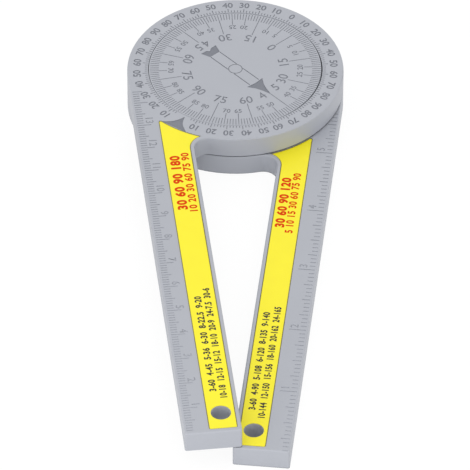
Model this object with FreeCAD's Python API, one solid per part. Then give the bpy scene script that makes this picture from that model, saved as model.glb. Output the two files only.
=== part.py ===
import FreeCAD, Part
import math
import os

from FreeCAD import Vector

# Mitre protractor with two stacked arms on one pivot, in millimetres.
# The origin is on the pivot axis in the plane of the underside, and +Z is up.
# The base arm runs along -Y. The ring arm lies one level above it and turns about +Z.

# Driving sizes of the two arms
disc_radius = 31.75
arm_reach = 152.6
arm_width = 15.9
level_height = 6.4
level_gap = 0.4
rest_angle = 12.87
root_fillet = 4.0
corner_round = 0.6
edge_round = 0.5

# Moulded walls on the open undersides
side_wall = 1.8
top_wall = 1.8
rib_wall = 1.2
rib_pitch = 17.0
hub_rib_count = 8
band_rib_count = 12

# Dial and the seat that it turns in
scale_band_width = 6.35
dial_gap = 0.2
dial_sink = 0.1
dial_plate = 2.2
skirt_inset = 4.5
skirt_wall = 1.8
running_clearance = 0.08

# Washers
glide_inset = 0.8
glide_width = 3.0
glide_thickness = 0.6
wave_margin = 1.4
wave_thickness = 0.4
washer_clearance = 0.1
face_clearance = 0.05

# Screws and locating pins between hub and dial
screw_inset = 7.9
screw_count = 4
screw_start_angle = 45.0
screw_radius = 1.0
screw_length = 7.0
screw_head_radius = 2.1
screw_head_height = 1.4
screw_head_sink = 0.8
screw_clearance = 0.05
boss_wall = 1.7
pin_angles = (0.0, 180.0)
pin_radius = 1.5
pin_length = 2.0
pin_clearance = 0.05
centre_post_radius = 4.0

# Labels and hanging holes
label_margin = 1.05
label_width = 8.05
label_end_margin = 1.2
label_corner = 0.6
label_recess = 0.3
label_thickness = 0.15
label_clearance = 0.1
hole_radius = 2.75
hole_setback = 7.7

# Levels that follow from the driving sizes
base_top = level_height
ring_bottom = base_top + level_gap
ring_top = ring_bottom + level_height
dial_top = ring_top - dial_sink
dial_bottom = dial_top - dial_plate
dial_radius = disc_radius - scale_band_width
opening_radius = dial_radius + dial_gap
skirt_radius = dial_radius - skirt_inset
bore_radius = skirt_radius + running_clearance
ledge_top = dial_bottom - wave_thickness - face_clearance
glide_inner_radius = skirt_radius + glide_inset
screw_circle_radius = skirt_radius - screw_inset
inner_edge = disc_radius - arm_width
hole_offset = inner_edge + label_margin + label_width / 2
hole_reach = arm_reach - hole_setback
boss_radius = screw_head_radius + boss_wall


def cylinder(radius, low, high, x=0.0, y=0.0):
    return Part.makeCylinder(radius, high - low, Vector(x, y, low))


def tube(outer, inner, low, high, x=0.0, y=0.0):
    return cylinder(outer, low, high, x, y).cut(cylinder(inner, low, high, x, y))


def box(x_low, x_high, y_low, y_high, low, high):
    return Part.makeBox(x_high - x_low, y_high - y_low, high - low, Vector(x_low, y_low, low))


def turned(shape, degrees):
    copy = shape.copy()
    copy.rotate(Vector(0, 0, 0), Vector(0, 0, 1), degrees)
    return copy


def around(count, shape):
    copies = [turned(shape, 360.0 * number / count) for number in range(count)]
    return copies[0].multiFuse(copies[1:])


def polar(radius, degrees):
    return Vector(radius * math.cos(math.radians(degrees)), radius * math.sin(math.radians(degrees)), 0)


def line(start, end):
    return Part.LineSegment(start, end).toShape()


def arc(start, centre, radius, end):
    """Arc from start to end about centre, the short way round."""
    middle = (start + end) * 0.5 - centre
    middle.normalize()
    return Part.Arc(start, centre + middle * radius, end).toShape()


def plate(edges, low, high):
    face = Part.Face(Part.Wire(edges))
    face.translate(Vector(0, 0, low))
    return face.extrude(Vector(0, 0, high - low))


def root_points(disc, inner, fillet):
    """Centre and ends of the fillet between a circle about the pivot and the straight edge x = inner."""
    centre = Vector(inner - fillet, -math.sqrt((disc + fillet) ** 2 - (inner - fillet) ** 2), 0)
    on_disc = centre * (disc / (disc + fillet))
    on_arm = Vector(inner, centre.y, 0)
    return centre, on_disc, on_arm


def rounded_end(inner, outer, low, r):
    """Free end of a strip from x = outer to x = inner, with both corners rounded."""
    right = Vector(outer - r, low + r, 0)
    left = Vector(inner + r, low + r, 0)
    return [
        arc(Vector(outer, low + r, 0), right, r, Vector(outer - r, low, 0)),
        line(Vector(outer - r, low, 0), Vector(inner + r, low, 0)),
        arc(Vector(inner + r, low, 0), left, r, Vector(inner, low + r, 0)),
    ]


def arm_outline():
    """Disc and arm in one outline, with the arm's outer edge tangent to the disc."""
    centre, on_disc, on_arm = root_points(disc_radius, inner_edge, root_fillet)
    top = Vector(disc_radius, 0, 0)
    far = Vector(-disc_radius, 0, 0)
    end = rounded_end(inner_edge, disc_radius, -arm_reach, corner_round)
    side_end = -arm_reach + corner_round
    return [line(top, Vector(disc_radius, side_end, 0))] + end + [
        line(Vector(inner_edge, side_end, 0), on_arm),
        arc(on_arm, centre, root_fillet, on_disc),
        arc(on_disc, Vector(0, 0, 0), disc_radius, far),
        Part.Arc(far, Vector(0, disc_radius, 0), top).toShape(),
    ]


def arm_blank(low, high):
    """Solid arm and disc with the top edge rounded all the way round."""
    blank = plate(arm_outline(), low, high)
    edges = [e for e in blank.Edges if e.BoundBox.ZMin > high - edge_round]
    return blank.makeFillet(edge_round, edges)


def label_outline(margin):
    """Outline of the label: flared at the root, cut by the disc's circle, with rounded corners."""
    inner = inner_edge + label_margin + margin
    outer = inner_edge + label_margin + label_width - margin
    top_radius = disc_radius + margin
    fillet = root_fillet + label_margin + margin
    centre = root_points(disc_radius, inner_edge, root_fillet)[0]
    on_line = Vector(inner, centre.y, 0)
    reach = centre.Length
    along = (reach ** 2 + top_radius ** 2 - fillet ** 2) / (2 * reach)
    aside = math.sqrt(top_radius ** 2 - along ** 2)
    axis = Vector(centre.x / reach, centre.y / reach, 0)
    flare = axis * along + Vector(-axis.y, axis.x, 0) * aside
    r = label_corner - margin
    corner, corner_top, corner_side = root_points(top_radius, outer, r)
    low = -arm_reach + label_end_margin + margin
    return [line(corner_side, Vector(outer, low + r, 0))] + rounded_end(inner, outer, low, r) + [
        line(Vector(inner, low + r, 0), on_line),
        arc(on_line, centre, fillet, flare),
        arc(flare, Vector(0, 0, 0), top_radius, corner_top),
        arc(corner_top, corner, r, corner_side),
    ]


def label(top):
    """Printed strip lying on the floor of its recess, with the hanging hole punched through."""
    floor = top - label_recess
    strip = plate(label_outline(label_clearance), floor, floor + label_thickness)
    return strip.cut(cylinder(hole_radius + label_clearance, floor, top, hole_offset, -hole_reach))


def arm_cells(low, high):
    """Open cells under the arm: cross ribs and the boss round the hanging hole stay between them."""
    end = -arm_reach + side_wall
    cells = box(inner_edge + side_wall, disc_radius - side_wall, end, 0, low, high)
    cells = cells.cut(cylinder(disc_radius, low, high))
    cells = cells.cut(cylinder(hole_radius + side_wall, low, high, hole_offset, -hole_reach))
    span = arm_reach - side_wall - disc_radius
    count = max(1, int(round(span / rib_pitch)))
    for number in range(1, count):
        y = -disc_radius - span * number / count
        cells = cells.cut(box(inner_edge, disc_radius, y - rib_wall / 2, y + rib_wall / 2, low, high))
    return cells


def screw_places():
    step = 360.0 / screw_count
    return [polar(screw_circle_radius, screw_start_angle + step * n) for n in range(screw_count)]


def pin_places():
    return [polar(screw_circle_radius, degrees) for degrees in pin_angles]


def hub_cells(high):
    """Open cells under the hub, between the rim, the middle ring, the bosses and the radial ribs."""
    middle = skirt_radius
    outer = tube(disc_radius - side_wall, middle, 0, high)
    inner = tube(middle - side_wall, centre_post_radius, 0, high)
    cells = outer.fuse(inner)
    rib = box(0, disc_radius, -rib_wall / 2, rib_wall / 2, 0, high)
    cells = cells.cut(around(hub_rib_count, rib))
    for place in screw_places():
        cells = cells.cut(cylinder(boss_radius, 0, high, place.x, place.y))
    for place in pin_places():
        cells = cells.cut(cylinder(pin_radius + boss_wall, 0, high, place.x, place.y))
    return cells


def base_arm():
    """Lower arm and hub, open underneath, with seats for the washer, the pins and the screws."""
    body = arm_blank(0, base_top)
    core = base_top - top_wall
    body = body.cut(arm_cells(0, core))
    body = body.cut(hub_cells(core))
    body = body.cut(plate(label_outline(0), base_top - label_recess, base_top))
    body = body.cut(cylinder(hole_radius, 0, base_top, hole_offset, -hole_reach))
    groove_low = ring_bottom - face_clearance - glide_thickness
    groove = tube(glide_inner_radius + glide_width + washer_clearance,
                  glide_inner_radius - washer_clearance, groove_low, base_top)
    body = body.cut(groove)
    seat = screw_head_sink + screw_head_height
    for place in screw_places():
        body = body.cut(cylinder(screw_head_radius + washer_clearance, 0, seat, place.x, place.y))
        body = body.cut(cylinder(screw_radius + screw_clearance, 0, base_top, place.x, place.y))
    for place in pin_places():
        low = base_top - pin_length - washer_clearance
        body = body.cut(cylinder(pin_radius + pin_clearance, low, base_top, place.x, place.y))
    return body


def ring_cells(low, high):
    """Open cells under the scale band of the ring, with short radial ribs between them."""
    inner = opening_radius + side_wall
    outer = disc_radius - side_wall
    cells = tube(outer, inner, low, high)
    rib = box(0, disc_radius, -rib_wall / 2, rib_wall / 2, low, high)
    return cells.cut(around(band_rib_count, rib))


def ring_arm():
    """Upper arm and ring: a stepped opening whose ledge carries the dial's rim through the wave washer."""
    body = arm_blank(ring_bottom, ring_top)
    core = ring_top - top_wall
    body = body.cut(arm_cells(ring_bottom, core))
    body = body.cut(ring_cells(ring_bottom, core))
    body = body.cut(plate(label_outline(0), ring_top - label_recess, ring_top))
    body = body.cut(cylinder(hole_radius, ring_bottom, ring_top, hole_offset, -hole_reach))
    body = body.cut(cylinder(opening_radius, ledge_top, ring_top))
    body = body.cut(cylinder(bore_radius, ring_bottom, ring_top))
    return body


def dial_disc():
    """Dial plate on a skirt that stands on the hub, with bosses for the screws and two locating pins."""
    body = cylinder(dial_radius, dial_bottom, dial_top)
    body = body.fuse(tube(skirt_radius, skirt_radius - skirt_wall, base_top, dial_bottom))
    body = body.fuse(cylinder(centre_post_radius, base_top, dial_bottom))
    rib = box(0, skirt_radius - skirt_wall / 2, -rib_wall / 2, rib_wall / 2, base_top, dial_bottom)
    body = body.fuse(around(hub_rib_count, rib))
    for place in screw_places():
        body = body.fuse(cylinder(screw_radius + boss_wall, base_top, dial_bottom, place.x, place.y))
    for place in pin_places():
        body = body.fuse(cylinder(pin_radius + boss_wall, base_top, dial_bottom, place.x, place.y))
        body = body.fuse(cylinder(pin_radius, base_top - pin_length, base_top, place.x, place.y))
    depth = screw_head_sink + screw_head_height + screw_length + washer_clearance
    for place in screw_places():
        body = body.cut(cylinder(screw_radius + screw_clearance, base_top, depth, place.x, place.y))
    return body.removeSplitter()


def glide_washer():
    low = ring_bottom - face_clearance - glide_thickness
    return tube(glide_inner_radius + glide_width, glide_inner_radius, low, low + glide_thickness)


def wave_washer():
    outer = opening_radius - wave_margin
    inner = bore_radius + washer_clearance
    return tube(outer, inner, ledge_top, ledge_top + wave_thickness)


def dial_screw(place):
    """Pan-head self-tapping screw, standing with its head down in the counterbore."""
    seat = screw_head_sink + screw_head_height
    head = cylinder(screw_head_radius, screw_head_sink, seat, place.x, place.y)
    shank = cylinder(screw_radius, seat, seat + screw_length, place.x, place.y)
    return head.fuse(shank).removeSplitter()


def mirrored(shape):
    """The ring arm carries its outer edge on the other side, so its outline is the mirror image."""
    return shape.mirror(Vector(0, 0, 0), Vector(1, 0, 0))


def on_ring_arm(shape):
    return turned(mirrored(shape), rest_angle)


def save(node, shape):
    shape.exportStep("parts/" + node + ".step")
    print(node, len(shape.Solids), round(shape.Volume, 2), shape.isValid())


os.makedirs("parts", exist_ok=True)
save("base_arm", base_arm())
save("ring_arm", on_ring_arm(ring_arm()))
save("dial_disc", dial_disc())
save("base_label", label(base_top))
save("ring_label", on_ring_arm(label(ring_top)))
save("glide_washer", glide_washer())
save("wave_washer", wave_washer())
for number, place in enumerate(screw_places(), start=1):
    save("dial_screw_%d" % number, dial_screw(place))
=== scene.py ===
import math

import bmesh
import bpy
from mathutils import Matrix, Vector


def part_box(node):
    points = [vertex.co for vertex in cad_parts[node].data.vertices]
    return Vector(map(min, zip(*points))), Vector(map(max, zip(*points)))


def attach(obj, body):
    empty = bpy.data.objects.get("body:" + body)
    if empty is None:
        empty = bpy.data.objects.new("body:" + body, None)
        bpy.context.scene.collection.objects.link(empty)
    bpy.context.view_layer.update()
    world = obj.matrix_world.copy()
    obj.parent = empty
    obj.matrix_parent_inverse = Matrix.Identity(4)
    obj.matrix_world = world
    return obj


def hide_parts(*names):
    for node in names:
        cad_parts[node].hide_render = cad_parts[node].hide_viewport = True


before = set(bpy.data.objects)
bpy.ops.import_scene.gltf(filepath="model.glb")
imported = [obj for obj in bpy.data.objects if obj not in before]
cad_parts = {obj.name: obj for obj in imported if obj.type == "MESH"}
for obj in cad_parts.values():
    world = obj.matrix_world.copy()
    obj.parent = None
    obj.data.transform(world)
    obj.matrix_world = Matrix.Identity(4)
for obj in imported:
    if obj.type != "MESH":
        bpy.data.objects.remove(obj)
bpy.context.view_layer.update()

# Camera and room
# A long lens looks down on the tool from its free ends, as in a catalogue photograph. The tool lies on a
# plain white table in a white tent that lights it evenly, with two weak soft lamps low in front.

MM = 0.001
SENSOR = 36.0
LENS_IN_PIXELS = 6271.4
PICTURE_WIDTH = 470
CAMERA_PLACE = (0.15027, -1.39426, 1.20522)
CAMERA_TURNS = (48.114, -0.081, 6.225)


def add_object(name, data):
    """A new object in the scene."""
    thing = bpy.data.objects.new(name, data)
    bpy.context.scene.collection.objects.link(thing)
    return thing


camera_data = bpy.data.cameras.new("camera")
camera_data.sensor_width = SENSOR
camera_data.lens = SENSOR * LENS_IN_PIXELS / PICTURE_WIDTH
camera_data.clip_start = 0.1
camera_data.clip_end = 20.0
camera = add_object("camera", camera_data)
camera.location = CAMERA_PLACE
camera.rotation_euler = [math.radians(turn) for turn in CAMERA_TURNS]
bpy.context.scene.camera = camera
bpy.context.scene.view_settings.view_transform = "Standard"


def linear(colour):
    """sRGB hex colour as linear red, green, blue and alpha."""
    shares = [int(colour[n:n + 2], 16) / 255 for n in (1, 3, 5)]
    return [c / 12.92 if c <= 0.04045 else ((c + 0.055) / 1.055) ** 2.4 for c in shares] + [1.0]


def add_node(tree, kind, settings=(), **inputs):
    """Adds a node, sets its properties, and fills or links its inputs. The input n6 is socket number 6, for
    nodes whose sockets share a name."""
    node = tree.nodes.new(kind)
    for name, value in dict(settings).items():
        setattr(node, name, value)
    for name, value in inputs.items():
        name = name.replace("_", " ")
        socket = node.inputs[int(name[1:]) if name[0] == "n" and name[1:].isdigit() else name]
        if isinstance(value, bpy.types.NodeSocket):
            tree.links.new(value, socket)
        else:
            socket.default_value = value
    return node


def material_tree(name):
    """An empty node material and its tree."""
    material = bpy.data.materials.new(name)
    material.use_nodes = True
    material.node_tree.nodes.clear()
    return material, material.node_tree


def seen_rays(tree):
    """1 for a ray that shows the eye the background: straight, reflected or through something clear."""
    rays = add_node(tree, "ShaderNodeLightPath")
    seen = rays.outputs["Is Camera Ray"]
    for kind in ("Is Glossy Ray", "Is Transmission Ray"):
        either = add_node(tree, "ShaderNodeMath", {"operation": "MAXIMUM"}, n0=seen, n1=rays.outputs[kind])
        seen = either.outputs[0]
    return seen


# Painted table: the eye sees it as plain white, with the tool's soft shadow. Seen from below it lets the
# view through, so that the open undersides can be looked at.
WHITE = "#FFFFFF"
FLOOR_SIZE = 8.0
FLOOR_PAINT = "#E2E2E2"
FLOOR_GLOW = 1.07
SEEN_WHITE = 0.85

table_paint, tree = material_tree("painted_table_top")
share = add_node(tree, "ShaderNodeMath", {"operation": "MULTIPLY"}, n0=seen_rays(tree), n1=SEEN_WHITE)
paint = add_node(tree, "ShaderNodeBsdfDiffuse", Color=linear(FLOOR_PAINT))
glow = add_node(tree, "ShaderNodeEmission", Color=linear(WHITE), Strength=FLOOR_GLOW)
face = add_node(tree, "ShaderNodeMixShader", n0=share.outputs[0], n1=paint.outputs[0], n2=glow.outputs[0])
side = add_node(tree, "ShaderNodeNewGeometry")
clear = add_node(tree, "ShaderNodeBsdfTransparent")
both = add_node(tree, "ShaderNodeMixShader", n0=side.outputs["Backfacing"], n1=face.outputs[0],
                n2=clear.outputs[0])
add_node(tree, "ShaderNodeOutputMaterial", Surface=both.outputs[0])

half = FLOOR_SIZE / 2
floor_mesh = bpy.data.meshes.new("table_top")
floor_mesh.from_pydata([(-half, -half, 0), (half, -half, 0), (half, half, 0), (-half, half, 0)], [],
                       [(0, 1, 2, 3)])
floor_mesh.materials.append(table_paint)
floor = add_object("table_top", floor_mesh)

# Tent walls: they light the tool a little less than they look bright to the eye.
ROOM_LIGHT = 0.966
ROOM_SEEN = 1.0

room = bpy.data.worlds.new("white_room")
room.use_nodes = True
tree = room.node_tree
tree.nodes.clear()
walls = add_node(tree, "ShaderNodeBackground", Color=linear(WHITE), Strength=ROOM_LIGHT)
backdrop = add_node(tree, "ShaderNodeBackground", Color=linear(WHITE), Strength=ROOM_SEEN)
world = add_node(tree, "ShaderNodeMixShader", n0=seen_rays(tree), n1=walls.outputs[0],
                 n2=backdrop.outputs[0])
add_node(tree, "ShaderNodeOutputWorld", Surface=world.outputs[0])
bpy.context.scene.world = room

# Two square soft boxes stand low in front and face the arms. Each has its place and its power.
LAMP_SIZE = 0.15
LAMP_TARGET = Vector((0, -0.12, 0))
LAMPS = {"left_lamp": ((-0.15, -0.38, 0.08), 0.145), "right_lamp": ((0.05, -0.38, 0.08), 0.074)}

for name, (place, power) in LAMPS.items():
    lamp = bpy.data.lights.new(name, "AREA")
    lamp.size = LAMP_SIZE
    lamp.energy = power
    box = add_object(name, lamp)
    box.location = place
    box.rotation_euler = (LAMP_TARGET - Vector(place)).to_track_quat("-Z", "Y").to_euler()


# Base arm and hub
# The lower level is one injection moulding in grey ABS: a flat arm and a round hub, open underneath between
# ribs. Its inch ruler is sunk into the face by the mould and filled with a slightly darker grey paint.


def reach_of(node, end, axis):
    """How far a CAD piece goes along an axis, 0 to 2, in mm: end 0 is its low end and end 1 its high one."""
    return round(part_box(node)[end][axis] / MM, 3)


REACH = -reach_of("base_arm", 0, 1)
BASE_TOP = reach_of("base_arm", 1, 2)
ABS_GREY = "#B3B6BE"
ABS_GREY_LOW = "#AEB1B9"
GRAIN = 0.35
CLOUD = 14.0
# Painted shade in joints: the grey darkens towards this colour where other faces lie within this reach, in
# mm.
SHADE_REACH = 1.0
PAINTED_GAP_SHADE = "#5A5C62"


def moulded_abs(name, gap_shaded):
    """Injection-moulded ABS with a fine spark-eroded face: an even satin grey with soft highlights.
    The mould's grain of 0.1 mm is drawn at 0.35 mm so that it shows. It may have painted shade: darker grey
    where other faces lie within 1 mm, as in the joint under the ring."""
    material, tree = material_tree(name)
    place = add_node(tree, "ShaderNodeTexCoord")
    cloud = add_node(tree, "ShaderNodeTexNoise", Vector=place.outputs["Object"], Scale=1 / (CLOUD * MM),
                     Detail=2.0, Roughness=0.5)
    tone = add_node(tree, "ShaderNodeMix", {"data_type": "RGBA"}, n0=cloud.outputs["Fac"],
                    n6=linear(ABS_GREY_LOW), n7=linear(ABS_GREY))
    # Painted shade: the colour darkens where other faces lie within the reach, as in the joint under the
    # ring.
    if gap_shaded:
        gap = add_node(tree, "ShaderNodeAmbientOcclusion", {"samples": 8}, Distance=SHADE_REACH * MM)
        unshaded = add_node(tree, "ShaderNodeMapRange", Value=gap.outputs["AO"], From_Min=0.2, From_Max=0.75)
        tone = add_node(tree, "ShaderNodeMix", {"data_type": "RGBA"}, n0=unshaded.outputs["Result"],
                        n6=linear(PAINTED_GAP_SHADE), n7=tone.outputs["Result"])
    grain = add_node(tree, "ShaderNodeTexNoise", Vector=place.outputs["Object"], Scale=1 / (GRAIN * MM),
                     Detail=3.0, Roughness=0.6)
    relief = add_node(tree, "ShaderNodeBump", Strength=0.25, Distance=0.02 * MM,
                      Height=grain.outputs["Fac"])
    satin = add_node(tree, "ShaderNodeMapRange", Value=grain.outputs["Fac"], To_Min=0.42, To_Max=0.52)
    shell = add_node(tree, "ShaderNodeBsdfPrincipled", Base_Color=tone.outputs["Result"],
                     Roughness=satin.outputs["Result"], IOR=1.54, Normal=relief.outputs["Normal"])
    add_node(tree, "ShaderNodeOutputMaterial", Surface=shell.outputs[0])
    return material


PATCH = 0.5
# The ruler paint turns paler along the arm between these distances, in mm.
FADE_START = 35.0
FADE_END = 125.0


def matt_paint(name, colour, far_end_colour=None, ior=1.5):
    """Matt filling paint in a sunk mark, printing ink or painted shade: a dull colour that doesn't shine.
    It lies unevenly, in patches of about 0.5 mm. With a far-end colour it turns to it towards an arm's free
    end."""
    material, tree = material_tree(name)
    place = add_node(tree, "ShaderNodeTexCoord")
    patches = add_node(tree, "ShaderNodeTexNoise", Vector=place.outputs["Object"], Scale=1 / (PATCH * MM))
    tone = add_node(tree, "ShaderNodeMapRange", Value=patches.outputs["Fac"], To_Min=0.9, To_Max=1.1)
    paint = add_node(tree, "ShaderNodeVectorMath", {"operation": "SCALE"}, n0=linear(colour)[:3],
                     Scale=tone.outputs["Result"])
    if far_end_colour:
        axes = add_node(tree, "ShaderNodeSeparateXYZ", Vector=place.outputs["Object"])
        along = add_node(tree, "ShaderNodeMapRange", Value=axes.outputs["Y"], From_Min=-FADE_END * MM,
                         From_Max=-FADE_START * MM)
        mixed = add_node(tree, "ShaderNodeMix", {"data_type": "VECTOR"}, n0=along.outputs["Result"],
                         n4=linear(far_end_colour)[:3], n5=linear(colour)[:3])
        tree.links.new(mixed.outputs[1], paint.inputs[0])
    shell = add_node(tree, "ShaderNodeBsdfPrincipled", Base_Color=paint.outputs["Vector"], Roughness=0.7,
                     IOR=ior)
    add_node(tree, "ShaderNodeOutputMaterial", Surface=shell.outputs[0])
    return material


# The marks are sunk by a tool: closed blocks that stand a little over the face and are cut out of it.
SUNK = 0.12
OVER = 0.3


def skin(solid, loops):
    """Closes a solid round loops of corners, which follow one another upwards."""
    solid.faces.new(loops[0][::-1])
    solid.faces.new(loops[-1])
    for lower, upper in zip(loops, loops[1:]):
        for n in range(len(lower)):
            m = (n + 1) % len(lower)
            solid.faces.new((lower[n], lower[m], upper[m], upper[n]))


def prism(tool, outline, top, depth=SUNK):
    """Adds a block with this outline to the tool, from above the face, at top, down to a depth below it."""
    levels = (top - depth, top + OVER)
    skin(tool, [[tool.verts.new((x * MM, y * MM, z * MM)) for x, y in outline] for z in levels])


def stroke(tool, start, end, width, top):
    """Adds a straight line of the given width to the tool."""
    along = (Vector(end) - Vector(start)).normalized()
    aside = Vector((-along.y, along.x)) * width / 2
    corners = [Vector(start) - aside, Vector(end) - aside, Vector(end) + aside, Vector(start) + aside]
    prism(tool, corners, top)


def use_fill(tool, first, fill):
    """Gives the marks that begin at face number first another filling paint."""
    for face in list(tool.faces)[first:]:
        face.material_index = fill


# A digit is 0.69 of the font's size high. Points closer than the weld distance are one.
DIGIT_SHARE = 0.69
ROW_SPACING = 1.1
WELD = 0.0005
WALL_SLOPE = 0.5
MITRE_LIMIT = 0.4


def text_mesh(words, height, weight, thickness, length=None):
    """Plain numbers as a closed mesh about the origin, with each outline moved out by the weight. With a
    length they are fitted to it. They are built large, in mm, because tiny curves spoil, and then scaled."""
    curve = bpy.data.curves.new("numbers", "FONT")
    curve.body = words
    curve.size = height / DIGIT_SHARE
    curve.extrude = thickness / 2
    curve.resolution_u = 4
    curve.space_character = ROW_SPACING if length else 1.0
    holder = add_object("numbers", curve)
    seen = holder.evaluated_get(bpy.context.evaluated_depsgraph_get())
    mesh = bpy.data.meshes.new_from_object(seen)
    bpy.data.objects.remove(holder)
    bpy.data.curves.remove(curve)
    solid = bmesh.new()
    solid.from_mesh(mesh)
    bmesh.ops.remove_doubles(solid, verts=solid.verts, dist=WELD)
    bmesh.ops.recalc_face_normals(solid, faces=solid.faces)
    solid.normal_update()
    shifts = []
    for vertex in solid.verts:
        walls = [face.normal for face in vertex.link_faces if abs(face.normal.z) < WALL_SLOPE]
        first = walls[0]
        other = min(walls, key=first.dot)
        shifts.append((first + other) * weight / max(MITRE_LIMIT, 1 + first.dot(other)))
    for vertex, shift in zip(solid.verts, shifts):
        vertex.co += shift
    xs = [v.co.x for v in solid.verts]
    ys = [v.co.y for v in solid.verts]
    middle = Vector(((min(xs) + max(xs)) / 2, (min(ys) + max(ys)) / 2, 0))
    stretch = length / (max(xs) - min(xs)) if length else 1.0
    for vertex in solid.verts:
        vertex.co -= middle
        vertex.co.x *= stretch
        vertex.co *= MM
    solid.to_mesh(mesh)
    solid.free()
    return mesh


def numbers(tool, words, place, up, height, weight, top):
    """Adds numbers to the tool, with their tops towards the direction up, in degrees."""
    mesh = text_mesh(words, height, weight, SUNK + OVER)
    turn = Matrix.Rotation(math.radians(up - 90), 4, "Z")
    level = (top + (OVER - SUNK) / 2) * MM
    mesh.transform(Matrix.Translation((place[0] * MM, place[1] * MM, level)) @ turn)
    tool.from_mesh(mesh)
    bpy.data.meshes.remove(mesh)


# A face is rounded where its normal is neither level nor upright. Bends of more than 0.8 radians are edges.
ROUNDED_FROM = 0.03
ROUNDED_TO = 0.9995
BEND_LIMIT = 0.8
FLAT_ANGLE = 0.1
SHARP_ANGLE = 30


def mesh_of(solid, name):
    """The mesh of a finished solid."""
    mesh = bpy.data.meshes.new(name)
    solid.to_mesh(mesh)
    solid.free()
    return mesh


def straightened(node):
    """A copy of the CAD piece's mesh. Crooked triangles on its rounded faces are turned straight, and those
    on its flat faces are joined, so that the highlights run smoothly."""
    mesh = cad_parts[node].data.copy()
    mesh.materials.clear()
    welded = bmesh.new()
    welded.from_mesh(mesh)
    bmesh.ops.remove_doubles(welded, verts=welded.verts, dist=WELD * MM)
    rounded = [face for face in welded.faces if ROUNDED_FROM < abs(face.normal.z) < ROUNDED_TO]
    on_rounded = set(rounded)
    crooked = [e for e in welded.edges if e.is_manifold and on_rounded.issuperset(e.link_faces)]
    crooked = [e for e in crooked if e.calc_face_angle() < BEND_LIMIT]
    bmesh.ops.beautify_fill(welded, faces=rounded, edges=crooked, method="ANGLE")
    bmesh.ops.dissolve_limit(welded, angle_limit=math.radians(FLAT_ANGLE), verts=welded.verts,
                             edges=welded.edges)
    welded.to_mesh(mesh)
    welded.free()
    return mesh


def cut_away(piece, cutter, settings=()):
    """Cuts the cutter's shape out of the piece for good, and takes the cutter away."""
    cut = piece.modifiers.new("cut", "BOOLEAN")
    cut.operation = "DIFFERENCE"
    cut.solver = "EXACT"
    cut.object = cutter
    for name, value in dict(settings).items():
        setattr(cut, name, value)
    shape = bpy.data.meshes.new_from_object(piece.evaluated_get(bpy.context.evaluated_depsgraph_get()))
    piece.modifiers.clear()
    piece.data = shape
    bpy.data.objects.remove(cutter)


def engraved(name, node, body, shell, tool, fills, turn=0.0):
    """Puts the CAD piece's own shape in its place with the marks of the tool cut into it. The fills are the
    paints on the cut faces. The turn, in degrees, takes the marks to the arm."""
    mesh = straightened(node)
    mesh.materials.append(shell)
    piece = add_object(name, mesh)
    bmesh.ops.recalc_face_normals(tool, faces=tool.faces)
    tool.transform(Matrix.Rotation(math.radians(turn), 4, "Z"))
    cutter = add_object(name + "_tool", mesh_of(tool, name + "_tool"))
    for fill in fills:
        cutter.data.materials.append(fill)
    cut_away(piece, cutter, {"use_self": True, "material_mode": "TRANSFER"})
    piece.data.shade_smooth()
    piece.data.set_sharp_from_angle(angle=math.radians(SHARP_ANGLE))
    even = piece.modifiers.new("even_shading", "WEIGHTED_NORMAL")
    even.keep_sharp = True
    even.mode = "FACE_AREA_WITH_ANGLE"
    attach(piece, body)
    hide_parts(node)


def line_size(count, sizes):
    """The size of line number count. The sizes go by every how many lines they come, longest first."""
    return next(size for every, size in sizes.items() if count % every == 0)


base_abs = moulded_abs("abs_moulded_satin_grey_gap_shaded", gap_shaded=True)
ruler_fill = matt_paint("filling_paint_fading_grey", "#A3A6AE", "#B1B4BC")

# Inch ruler: places across are from the pivot. Each line has its inner end and its width, and each size of
# number its height and its weight.
INCH = 25.4
INCH_ZERO = REACH + 1.2
INCH_EDGE = 31.2
INCH_LINES = {16: (26.5, 0.32), 8: (28.8, 0.4), 4: (28.7, 0.3), 1: (29.6, 0.3)}
LAST_SIXTEENTH = 91
LAST_INCH = 5
INCH_NUMBER = (2.2, 0.03)
INCH_NUMBER_ACROSS = 27.8
INCH_NUMBER_SHIFT = 1.5

inch_tool = bmesh.new()
for sixteenth in range(1, LAST_SIXTEENTH + 1):
    s = INCH_ZERO - sixteenth * INCH / 16
    inner, width = line_size(sixteenth, INCH_LINES)
    stroke(inch_tool, (inner, -s), (INCH_EDGE, -s), width, BASE_TOP)
for inch in range(1, LAST_INCH + 1):
    s = INCH_ZERO - inch * INCH - INCH_NUMBER_SHIFT
    numbers(inch_tool, str(inch), (INCH_NUMBER_ACROSS, -s), 180, *INCH_NUMBER, BASE_TOP)
engraved("base_arm_moulding", "base_arm", "base", base_abs, inch_tool, [ruler_fill])


# Ring arm
# The upper level is a second moulding in the same ABS: an arm that ends in a ring round the dial. Its degree
# scale, with a curved arrow, is sunk into the ring and filled with a darker grey paint. A centimetre ruler
# runs along the arm's outer edge.

RING_TOP = reach_of("ring_arm", 1, 2)
RING_TURN = 12.87

ring_abs = moulded_abs("abs_moulded_satin_grey", gap_shaded=False)
ring_fill = matt_paint("filling_paint_mid_grey", "#888B94")
arrow_fill = matt_paint("filling_paint_dark_grey", "#80838C")


def polar(radius, degrees):
    """A point round the pivot."""
    return (radius * math.cos(math.radians(degrees)), radius * math.sin(math.radians(degrees)))


# Degree scale: a line every 2 degrees and a number every 10, from 0 at the arrow up to 90 and back. On the
# real ring the numbers 10 to 80 on one side stand a little off their lines.
RING_ZERO = -132.0
RING_LINE_STEP = 2
RING_LINE_START = 25.75
RING_LINE_ENDS = {10: 27.3, 2: 26.6}
RING_LINE_WIDTH = 0.22
RING_NUMBER_STEP = 10
RING_NUMBER = (2.15, 0.06)
RING_NUMBER_CIRCLE = 28.95
NUMBER_DRIFT = {10: 0.6, 20: 1.3, 30: 1.3, 40: 1.9, 50: 1.9, 60: 0.8, 70: 0.8, 80: 0.8}
ARROW_ROOM = 4

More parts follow.
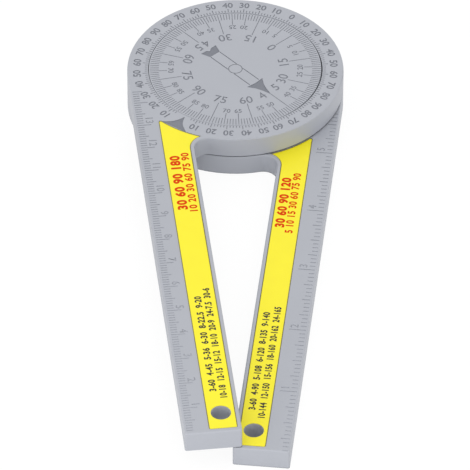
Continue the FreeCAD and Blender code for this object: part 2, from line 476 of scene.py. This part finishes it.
ring_tool = bmesh.new()
for degree in range(0, 360, RING_LINE_STEP):
    direction = RING_ZERO + degree
    if min(degree, 360 - degree) > ARROW_ROOM:
        start = polar(RING_LINE_START, direction)
        end = polar(line_size(degree, RING_LINE_ENDS), direction)
        stroke(ring_tool, start, end, RING_LINE_WIDTH, RING_TOP)
for degree in range(RING_NUMBER_STEP, 360, RING_NUMBER_STEP):
    value = abs((degree + 90) % 180 - 90)
    direction = RING_ZERO + degree + NUMBER_DRIFT.get(degree, 0)
    numbers(ring_tool, str(value), polar(RING_NUMBER_CIRCLE, direction), direction, *RING_NUMBER, RING_TOP)

# Curved arrow: its outline as radii and degrees from the scale's zero.
ARROW = [(26.2, 1.2), (27.4, 0.4), (28.5, -0.7), (29.6, -2.1), (30.6, -3.9), (31.3, -5.4), (31.9, -6.9),
         (31.9, 8.4), (31.5, 8.0), (30.7, 6.4), (30.0, 4.9), (29.0, 3.5), (28.0, 2.5), (26.9, 1.8)]
arrow_start = len(ring_tool.faces)
prism(ring_tool, [polar(radius, RING_ZERO + degrees) for radius, degrees in ARROW], RING_TOP)
use_fill(ring_tool, arrow_start, 1)

# Centimetre ruler: like the inch ruler, on the other edge. The last numbers, of two digits, stand further
# from their lines.
CM_ZERO = REACH - 0.4
CM_EDGE = 31.15
CM_LINE_STARTS = {10: 27.2, 5: 28.4, 1: 29.3}
CM_LINE_WIDTH = 0.34
LAST_MILLIMETRE = 145
LAST_CENTIMETRE = 13
CM_NUMBER = (2.2, 0.02)
CM_NUMBER_ACROSS = 27.5
CM_NUMBER_SHIFTS = {1: 1.3, 2: 1.9}

ruler_start = len(ring_tool.faces)
for millimetre in range(1, LAST_MILLIMETRE + 1):
    s = CM_ZERO - millimetre
    inner = line_size(millimetre, CM_LINE_STARTS)
    stroke(ring_tool, (-inner, -s), (-CM_EDGE, -s), CM_LINE_WIDTH, RING_TOP)
for centimetre in range(1, LAST_CENTIMETRE + 1):
    words = str(centimetre)
    s = CM_ZERO - centimetre * 10 - CM_NUMBER_SHIFTS[len(words)]
    numbers(ring_tool, words, (-CM_NUMBER_ACROSS, -s), 0, *CM_NUMBER, RING_TOP)
use_fill(ring_tool, ruler_start, 2)
engraved("ring_arm_moulding", "ring_arm", "ring", ring_abs, ring_tool, [ring_fill, arrow_fill, ruler_fill],
         turn=RING_TURN)


# Dial
# A round ABS plate fills the ring's opening and is screwed to the hub. Its own degree scale, its double-line
# arrow and a plain circle in the middle are sunk into it and filled with grey paints.

DIAL_TOP = reach_of("dial_disc", 1, 2)
DIAL_RADIUS = reach_of("dial_disc", 1, 0)

dial_fill = matt_paint("filling_paint_light_grey", "#8C8F98")
# Painted shade: a mid-dark grey on the faces of the trimmed gap at the dial's rim.
gap_shade_paint = matt_paint("painted_shade_in_dial_gap", "#84878E")

# Degree scale: 180 units fill the circle, so that a unit is 2 degrees wide. The values go from 0 up to 90
# and back. The arrow lies along one line, and parts the digits of the numbers at its head and its tail. Each
# parted digit has its radius and its degrees aside from the arrow.
UNITS = 180
DIAL_ZERO = 48.6
DIAL_LINE_STARTS = {15: 16.1, 5: 20.1, 1: 22.5}
DIAL_LINE_END = 25.05
DIAL_LINE_WIDTH = 0.2
BIG_STEP = 15
BIG_NUMBER = (2.85, 0.02)
BIG_CIRCLE = 14.4
SMALL_STEP = 5
SMALL_NUMBER = (1.6, 0.02)
SMALL_CIRCLE = 19.0
ARROW_UNIT = 135
ARROW_LINE_START = 15.3
SPLIT_AT_HEAD = (("4", 14.4, -9.5), ("5", 14.3, 12.3))
SPLIT_AT_TAIL = (("4", 14.4, -5.4), ("5", 14.4, 5.6))

dial_tool = bmesh.new()
for unit in range(UNITS):
    direction = DIAL_ZERO + unit * 360 / UNITS
    inner = ARROW_LINE_START if unit == ARROW_UNIT else line_size(unit, DIAL_LINE_STARTS)
    stroke(dial_tool, polar(inner, direction), polar(DIAL_LINE_END, direction), DIAL_LINE_WIDTH, DIAL_TOP)
for unit in range(0, UNITS, SMALL_STEP):
    direction = DIAL_ZERO + unit * 360 / UNITS
    value = str(90 - abs(90 - unit))
    inward = direction + 180
    if unit % BIG_STEP:
        numbers(dial_tool, value, polar(SMALL_CIRCLE, direction), inward, *SMALL_NUMBER, DIAL_TOP)
    elif unit % 90 != ARROW_UNIT % 90:
        numbers(dial_tool, value, polar(BIG_CIRCLE, direction), inward, *BIG_NUMBER, DIAL_TOP)
    else:
        for digit, radius, aside in SPLIT_AT_HEAD if unit == ARROW_UNIT else SPLIT_AT_TAIL:
            numbers(dial_tool, digit, polar(radius, direction + aside), inward, *BIG_NUMBER, DIAL_TOP)

# Double-line arrow: its head and its notched tail as outlines, and two lines that leave out the middle.
# Places are along the arrow and to its left.
DIAL_ARROW = DIAL_ZERO + ARROW_UNIT * 360 / UNITS
HEAD = [(15.4, 0), (12.6, 0.75), (10.6, 1.55), (8.4, 3.0), (8.7, 0), (8.4, -3.0), (10.6, -1.55),
        (12.6, -0.75)]
TAIL = [(-8.9, 1.9), (-11.8, 2.9), (-11.7, 0.9), (-10.9, -0.2), (-11.7, -0.9), (-11.8, -2.9), (-8.9, -1.9)]
SHAFT_ASIDE = 1.77
SHAFT_WIDTH = 0.28
SHAFT_PARTS = ((-8.7, -1.3), (1.3, 8.2))


def on_arrow(along, left):
    """A point of the dial's arrow, turned to where it lies on the dial."""
    turn = math.radians(DIAL_ARROW)
    return (along * math.cos(turn) - left * math.sin(turn), along * math.sin(turn) + left * math.cos(turn))


arrow_start = len(dial_tool.faces)
for outline in (HEAD, TAIL):
    prism(dial_tool, [on_arrow(*corner) for corner in outline], DIAL_TOP)
for aside in (SHAFT_ASIDE, -SHAFT_ASIDE):
    for start, end in SHAFT_PARTS:
        stroke(dial_tool, on_arrow(start, aside), on_arrow(end, aside), SHAFT_WIDTH, DIAL_TOP)

# Plain circle in the middle: a ring of short blocks that don't quite touch.
CIRCLE_INNER = 1.9
CIRCLE_OUTER = 2.1
CIRCLE_STEPS = 40
BLOCK_ENDS = (0.03, 0.97)

for n in range(CIRCLE_STEPS):
    start, end = [360 * (n + share) / CIRCLE_STEPS for share in BLOCK_ENDS]
    inner = [polar(CIRCLE_INNER, start), polar(CIRCLE_INNER, end)]
    prism(dial_tool, inner + [polar(CIRCLE_OUTER, end), polar(CIRCLE_OUTER, start)], DIAL_TOP)
use_fill(dial_tool, arrow_start, 1)

# The gap round the dial is widest on the right, where the rim is trimmed back; painted shade darkens the
# trim.
# The trim is a crescent: deepest at its centre's direction, and down to nothing 46 degrees to each side.
TRIM = 0.28
TRIM_CENTRE = -12.0
TRIM_HALF = 46.0
TRIM_DEPTH = 0.9
TRIM_OVER = 0.15
TRIM_STEPS = 32

trim_start = len(dial_tool.faces)
inner_edge = []
outer_edge = []
for n in range(TRIM_STEPS + 1):
    share = 2 * n / TRIM_STEPS - 1
    direction = TRIM_CENTRE + TRIM_HALF * share
    cut = TRIM * math.cos(math.pi / 2 * share)
    inner_edge.append(polar(DIAL_RADIUS - cut, direction))
    outer_edge.append(polar(DIAL_RADIUS + TRIM_OVER, direction))
prism(dial_tool, inner_edge[1:-1] + outer_edge[1:-1][::-1], DIAL_TOP, TRIM_DEPTH)
use_fill(dial_tool, trim_start, 2)
engraved("dial_moulding", "dial_disc", "base", ring_abs, dial_tool, [dial_fill, arrow_fill, gap_shade_paint])


# Labels
# Two yellow vinyl films lie in shallow recesses of the arms. Each has rows of plain numbers, screen-printed
# in red and black, and a thin dark brown line round its edge, painted shade of the recess wall and the gap.

WAVE = 6.0
INK = 0.02
BORDER = 0.15
HOLE_ACROSS = 20.925
HOLE_FROM_END = 7.7
HOLE_RADIUS = 2.85
FACING_UP = 0.99


def vinyl(name, colour):
    """Calendered vinyl film with a printed face: strong even colour and a soft sheen.
    The film follows the recess floor, in waves of about 6 mm."""
    material, tree = material_tree(name)
    place = add_node(tree, "ShaderNodeTexCoord")
    waves = add_node(tree, "ShaderNodeTexNoise", Vector=place.outputs["Object"], Scale=1 / (WAVE * MM),
                     Detail=1.0)
    relief = add_node(tree, "ShaderNodeBump", Strength=0.15, Distance=0.03 * MM,
                      Height=waves.outputs["Fac"])
    tone = add_node(tree, "ShaderNodeMapRange", Value=waves.outputs["Fac"], To_Min=0.97, To_Max=1.03)
    ink = add_node(tree, "ShaderNodeVectorMath", {"operation": "SCALE"}, n0=linear(colour)[:3],
                   Scale=tone.outputs["Result"])
    shell = add_node(tree, "ShaderNodeBsdfPrincipled", Base_Color=ink.outputs["Vector"], Roughness=0.38,
                     IOR=1.45, Normal=relief.outputs["Normal"])
    add_node(tree, "ShaderNodeOutputMaterial", Surface=shell.outputs[0])
    return material


def finish(node, material):
    """Gives a CAD piece that stays in view its material."""
    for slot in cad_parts[node].material_slots:
        slot.material = material


yellow_film = vinyl("vinyl_film_yellow", "#FFF224")
# Painted shade of the recess wall and the gap round each film, as a dark brown line.
recess_shade_paint = matt_paint("painted_recess_shade_brown", "#857A3C")
black_ink = matt_paint("screen_ink_black", "#38342A")
# The red ink reflects less of the white room than the others, which keeps it strong.
red_ink = matt_paint("screen_ink_red", "#E04400", ior=1.25)
finish("base_label", yellow_film)
finish("ring_label", yellow_film)


def border(name, node, body, hand, turn):
    """A thin dark brown line along the label's edge, painted shade of the recess wall and the gap round the
    film.
    It lies as a thin layer on the film's own outline. The edge of the hanging hole stays bare. The hand is 1
    for the right arm and -1 for the left, which has its turn."""
    film = bmesh.new()
    film.from_mesh(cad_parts[node].data)
    bmesh.ops.remove_doubles(film, verts=film.verts, dist=WELD * MM)
    bmesh.ops.delete(film, geom=[f for f in film.faces if f.normal.z < FACING_UP], context="FACES")
    rim = bmesh.ops.inset_region(film, faces=film.faces[:], thickness=BORDER * MM, use_boundary=True,
                                 use_even_offset=True)["faces"]
    hole = Vector((hand * HOLE_ACROSS * MM, (HOLE_FROM_END - REACH) * MM, 0))
    hole.rotate(Matrix.Rotation(math.radians(turn), 3, "Z"))
    clear = (HOLE_RADIUS + BORDER * 2) * MM
    keep = {f for f in rim if (f.calc_center_median().xy - hole.xy).length > clear}
    bmesh.ops.delete(film, geom=[f for f in film.faces if f not in keep], context="FACES")
    layer = bmesh.ops.extrude_face_region(film, geom=film.faces[:])["geom"]
    upper = [v for v in layer if isinstance(v, bmesh.types.BMVert)]
    bmesh.ops.translate(film, verts=upper, vec=(0, 0, INK * MM))
    bmesh.ops.recalc_face_normals(film, faces=film.faces)
    line = add_object(name, mesh_of(film, name))
    line.data.materials.append(recess_shade_paint)
    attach(line, body)


border("base_label_border", "base_label", "base", 1, 0.0)
border("ring_label_border", "ring_label", "ring", -1, RING_TURN)

# The rows of each arm's label, after its hand and its turn. A row has its numbers, its place across from the
# pivot, its start and end along the arm, the height and weight of its digits, and its ink.
ROWS = {
    "base": (1, 0.0, [
        ("30 60 90 120", 19.25, 38.7, 60.3, 2.45, 0.17, red_ink),
        ("5 10 15 30 60 75 90", 22.1, 36.5, 62.5, 2.1, 0.1, red_ink),
        ("3-60  4-90  5-108  6-120  8-135  9-140", 19.5, 96.5, 136.7, 1.8, 0.1, black_ink),
        ("10-144  12-150  15-156  18-160  20-162  24-165", 22.4, 94.0, 139.7, 1.8, 0.1, black_ink),
    ]),
    "ring": (-1, RING_TURN, [
        ("30 60 90 180", 22.05, 36.5, 60.0, 2.6, 0.17, red_ink),
        ("10 20 30 60 75 90", 19.0, 35.5, 61.0, 2.1, 0.1, red_ink),
        ("3-60  4-45  5-36  6-30  8-22.5  9-20", 22.1, 97.0, 136.2, 1.8, 0.1, black_ink),
        ("10-18  12-15  15-12  18-10  20-9  24-7.5  30-6", 19.4, 93.8, 139.0, 1.8, 0.1, black_ink),
    ]),
}
for body, (hand, turn, rows) in ROWS.items():
    level = reach_of(body + "_label", 1, 2)
    for number, (words, across, start, end, height, weight, ink) in enumerate(rows, start=1):
        mesh = text_mesh(words, height, weight, INK, length=end - start)
        place = Matrix.Translation((hand * across * MM, -(start + end) / 2 * MM, level * MM))
        arm_turn = Matrix.Rotation(math.radians(turn), 4, "Z")
        mesh.transform(arm_turn @ place @ Matrix.Rotation(math.pi / 2, 4, "Z"))
        mesh.materials.clear()
        mesh.materials.append(ink)
        print_row = add_object("%s_label_print_%d" % (body, number), mesh)
        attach(print_row, body)


# Washers
# A thin nylon washer lies between hub and ring, so that they turn without scuffing. A spring-steel wave
# washer under the dial's rim gives the drag that holds an angle. Both lie loose on their seats.

NYLON_CLOUD = 3.0
STREAK_LENGTH = 4.0
STREAK_FINENESS = 30

# Natural nylon, moulded: milky, a little uneven and softly shiny.
nylon, tree = material_tree("nylon_moulded_natural")
place = add_node(tree, "ShaderNodeTexCoord")
cloud = add_node(tree, "ShaderNodeTexNoise", Vector=place.outputs["Object"], Scale=1 / (NYLON_CLOUD * MM))
tone = add_node(tree, "ShaderNodeMix", {"data_type": "RGBA"}, n0=cloud.outputs["Fac"], n6=linear("#E6E3D8"),
                n7=linear("#DCD9CE"))
shell = add_node(tree, "ShaderNodeBsdfPrincipled", Base_Color=tone.outputs["Result"], Roughness=0.4,
                 IOR=1.53)
add_node(tree, "ShaderNodeOutputMaterial", Surface=shell.outputs[0])
finish("glide_washer", nylon)

# Spring steel, rolled: a grey metal whose shine runs in fine straight streaks. The real ones are a few
# hundredths of a millimetre wide, and they are drawn at 0.13 mm so that they show.
spring, tree = material_tree("spring_steel_rolled")
place = add_node(tree, "ShaderNodeTexCoord")
rolled = add_node(tree, "ShaderNodeMapping", Vector=place.outputs["Object"], Scale=(1, STREAK_FINENESS, 1))
streaks = add_node(tree, "ShaderNodeTexNoise", Vector=rolled.outputs["Vector"],
                   Scale=1 / (STREAK_LENGTH * MM))
rough = add_node(tree, "ShaderNodeMapRange", Value=streaks.outputs["Fac"], To_Min=0.25, To_Max=0.45)
shell = add_node(tree, "ShaderNodeBsdfPrincipled", Base_Color=linear("#B9B8B4"), Metallic=1.0,
                 Roughness=rough.outputs["Result"])
add_node(tree, "ShaderNodeOutputMaterial", Surface=shell.outputs[0])
finish("wave_washer", spring)


# Dial screws
# Four zinc-plated pan-head screws stand head down in the hub's counterbores and cut their own thread in the
# dial's bosses. Each is cold-headed steel with a cross recess and a rolled thread.

SCREWS = 4
SCREW_TURN = 37
SCREW_SIDES = 32
SHANK = 0.98
THREAD_ROOT = 0.74
THREAD_PITCH = 0.8
THREAD_STEP = 0.1
CREST_SHARPNESS = 1.8
TIP_LENGTH = 0.8
TIP_TAPER = 0.45
CROSS_REACH = 1.25
CROSS_WIDTH = 0.5
CROSS_DEPTH = 0.95
CROSS_MOUTH = 1.1
CROSS_FLOOR = 0.5
ZINC_BLOOM = 1.5
# The pan head's profile, from its crown down to the shank: radii and distances from the crown.
PAN = [(0.9, 0.0), (1.4, 0.05), (1.75, 0.16), (1.98, 0.36), (2.1, 0.7), (2.1, 1.3), (2.02, 1.4),
       (SHANK, 1.4)]


def shank_radius(height, angle, tip):
    """Plain through the hub, threaded in the dial, with a blunt taper at the tip."""
    if height < BASE_TOP:
        return SHANK
    turn = (height / THREAD_PITCH - angle / (2 * math.pi)) % 1
    crest = max(0.0, 1 - CREST_SHARPNESS * abs(2 * turn - 1))
    taper = 1 - TIP_TAPER * max(0.0, height - tip + TIP_LENGTH) / TIP_LENGTH
    return (THREAD_ROOT + (SHANK - THREAD_ROOT) * crest) * taper


def screw_mesh(low, tip):
    """A screw on the Z axis, its head down at the level low and its tip at the level tip."""
    rings = [[(radius, low + rise)] * SCREW_SIDES for radius, rise in PAN]
    seat = low + PAN[-1][1]
    for n in range(1, round((tip - seat) / THREAD_STEP) + 1):
        height = seat + n * THREAD_STEP
        angles = [2 * math.pi * k / SCREW_SIDES for k in range(SCREW_SIDES)]
        rings.append([(shank_radius(height, angle, tip), height) for angle in angles])
    turned = bmesh.new()
    loops = []
    for ring in rings:
        corners = [polar(ring[k][0], 360 * k / SCREW_SIDES) + (ring[k][1],) for k in range(SCREW_SIDES)]
        loops.append([turned.verts.new(Vector(corner) * MM) for corner in corners])
    skin(turned, loops)
    return mesh_of(turned, "pan_head_screw")


def cross_punch(low):
    """The cross that presses the recess into the head, wide at the crown and narrower at its floor."""
    punch = bmesh.new()
    half = CROSS_WIDTH / 2
    arm = [(CROSS_REACH, -half), (CROSS_REACH, half), (half, half)]
    outline = []
    for quarter in range(4):
        turn = Matrix.Rotation(quarter * math.pi / 2, 2)
        outline += [turn @ Vector(corner) for corner in arm]
    ends = []
    for share, height in ((CROSS_MOUTH, low - OVER), (CROSS_FLOOR, low + CROSS_DEPTH)):
        ends.append([punch.verts.new((x * share * MM, y * share * MM, height * MM)) for x, y in outline])
    skin(punch, ends)
    return mesh_of(punch, "cross_punch")


# Zinc-plated steel: a light, cool metal with a duller bloom in patches.
zinc, tree = material_tree("steel_zinc_plated")
place = add_node(tree, "ShaderNodeTexCoord")
bloom = add_node(tree, "ShaderNodeTexNoise", Vector=place.outputs["Object"], Scale=1 / (ZINC_BLOOM * MM),
                 Detail=4.0)
rough = add_node(tree, "ShaderNodeMapRange", Value=bloom.outputs["Fac"], To_Min=0.28, To_Max=0.5)
shell = add_node(tree, "ShaderNodeBsdfPrincipled", Base_Color=linear("#C6C8CB"), Metallic=1.0,
                 Roughness=rough.outputs["Result"])
add_node(tree, "ShaderNodeOutputMaterial", Surface=shell.outputs[0])
# Each screw stopped at a turn of its own when it was driven home.
for n in range(1, SCREWS + 1):
    node = "dial_screw_%d" % n
    low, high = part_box(node)
    screw = add_object("pan_head_screw_%d" % n, screw_mesh(low[2] / MM, high[2] / MM))
    screw.data.materials.append(zinc)
    cut_away(screw, add_object("cross_punch", cross_punch(low[2] / MM)))
    centre = (Vector(low) + Vector(high)) / 2
    turn = Matrix.Rotation(math.radians(SCREW_TURN * n), 4, "Z")
    screw.data.transform(Matrix.Translation((centre.x, centre.y, 0)) @ turn)
    screw.data.shade_smooth()
    screw.data.set_sharp_from_angle(angle=math.radians(SHARP_ANGLE))
    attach(screw, "base")
    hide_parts(node)
